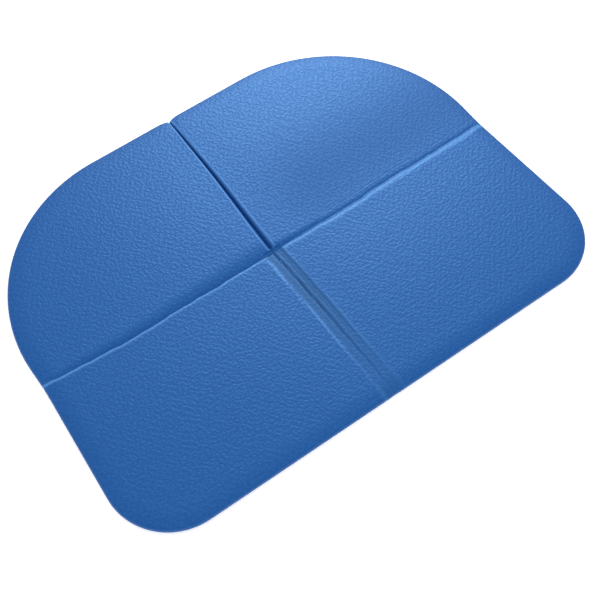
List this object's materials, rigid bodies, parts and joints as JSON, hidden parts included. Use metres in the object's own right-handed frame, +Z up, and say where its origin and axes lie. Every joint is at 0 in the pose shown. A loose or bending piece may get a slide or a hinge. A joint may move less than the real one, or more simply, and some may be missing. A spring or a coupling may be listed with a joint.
{
  "type": "laptop cooling pad",
  "caption": "Thin foldable passive cooling pad for a laptop: flat fabric-covered gel panels joined by pressed creases, with a slit between the back panels so that it folds to a quarter.",
  "frame": {"origin": "centre of the pad where its creases meet, on the surface that it lies on", "axes": "+X to the right along the cross crease, +Y to the back edge, +Z up through the pad"},
  "size_m": [0.3876, 0.278, 0.0086],
  "materials": {
    "cover_fabric": "matt blue fabric, pressed with a fine worm-like grain",
    "web_fabric": "the same blue fabric, pressed flat and smooth in the creases",
    "pouch_film": "glossy heat-sealed film",
    "heat_core": "pale waxy heat-absorbing compound",
    "base_foam": "fine closed-cell foam"
  },
  "bodies": {
    "front_left": {"front_left_top_cover": "cover_fabric", "front_left_bottom_cover": "cover_fabric", "front_left_foam_base": "base_foam", "front_left_pouch_tray": "pouch_film", "front_left_pouch_lid": "pouch_film", "front_left_heat_core": "heat_core"},
    "left_crease": {"left_crease_web": "web_fabric"},
    "back_left": {"back_left_top_cover": "cover_fabric", "back_left_bottom_cover": "cover_fabric", "back_left_foam_base": "base_foam", "back_left_pouch_tray": "pouch_film", "back_left_pouch_lid": "pouch_film", "back_left_heat_core": "heat_core"},
    "front_crease": {"front_crease_web": "web_fabric"},
    "front_right": {"front_right_top_cover": "cover_fabric", "front_right_bottom_cover": "cover_fabric", "front_right_foam_base": "base_foam", "front_right_pouch_tray": "pouch_film", "front_right_pouch_lid": "pouch_film", "front_right_heat_core": "heat_core"},
    "right_crease": {"right_crease_web": "web_fabric"},
    "back_right": {"back_right_top_cover": "cover_fabric", "back_right_bottom_cover": "cover_fabric", "back_right_foam_base": "base_foam", "back_right_pouch_tray": "pouch_film", "back_right_pouch_lid": "pouch_film", "back_right_heat_core": "heat_core"}
  },
  "joints": [
    {"name": "left_fold", "type": "hinge", "parent": "front_left", "child": "left_crease", "pos_m": [-0.09375, -0.0045, 0.0043], "axis": [1, 0, 0], "range_deg": [0, 90]},
    {"name": "left_fold_far", "type": "hinge", "parent": "left_crease", "child": "back_left", "pos_m": [-0.09375, 0.0045, 0.0043], "axis": [1, 0, 0], "range_deg": [0, 90]},
    {"name": "front_fold", "type": "hinge", "parent": "front_left", "child": "front_crease", "pos_m": [-0.0045, -0.0695, 0.0043], "axis": [0, 1, 0], "range_deg": [0, 90]},
    {"name": "front_fold_far", "type": "hinge", "parent": "front_crease", "child": "front_right", "pos_m": [0.0045, -0.0695, 0.0043], "axis": [0, 1, 0], "range_deg": [0, 90]},
    {"name": "right_fold", "type": "hinge", "parent": "front_right", "child": "right_crease", "pos_m": [0.09375, -0.0045, 0.0043], "axis": [1, 0, 0], "range_deg": [0, 90]},
    {"name": "right_fold_far", "type": "hinge", "parent": "right_crease", "child": "back_right", "pos_m": [0.09375, 0.0045, 0.0043], "axis": [1, 0, 0], "range_deg": [0, 90]}
  ],
  "couplings": [
    {"joint": "left_fold_far", "follows": "left_fold", "ratio": 1},
    {"joint": "front_fold_far", "follows": "front_fold", "ratio": 1},
    {"joint": "right_fold_far", "follows": "right_fold", "ratio": 1}
  ]
}
